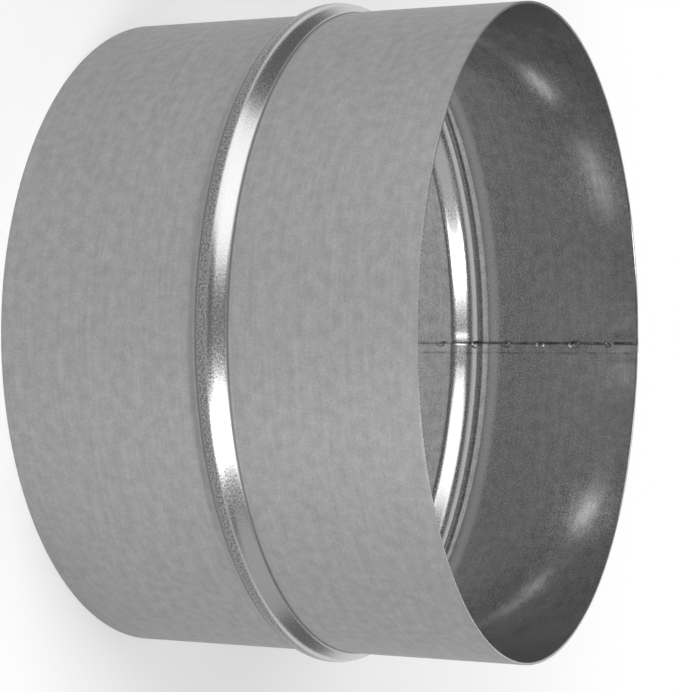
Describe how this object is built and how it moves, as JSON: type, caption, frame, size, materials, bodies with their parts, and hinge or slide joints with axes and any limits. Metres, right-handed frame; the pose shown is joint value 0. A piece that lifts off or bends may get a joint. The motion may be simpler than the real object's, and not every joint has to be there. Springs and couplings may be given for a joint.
{
  "type": "duct connector",
  "caption": "Short open sleeve of galvanised sheet steel with a rolled stop bead near its middle and a lap-welded seam; joins lengths of round ventilation duct end to end.",
  "frame": {"origin": "centre of the lower rim, on the sleeve's axis", "axes": "+Z along the axis, from the lower rim up to the upper rim; +Y towards the side that carries the lapped seam"},
  "size_m": [0.128, 0.1282, 0.08],
  "materials": {
    "galvanised_steel": "matte zinc coating with fine grain, burnished where the bead was rolled"
  },
  "bodies": {
    "root": {"connector_sleeve": "galvanised_steel"}
  },
  "joints": []
}
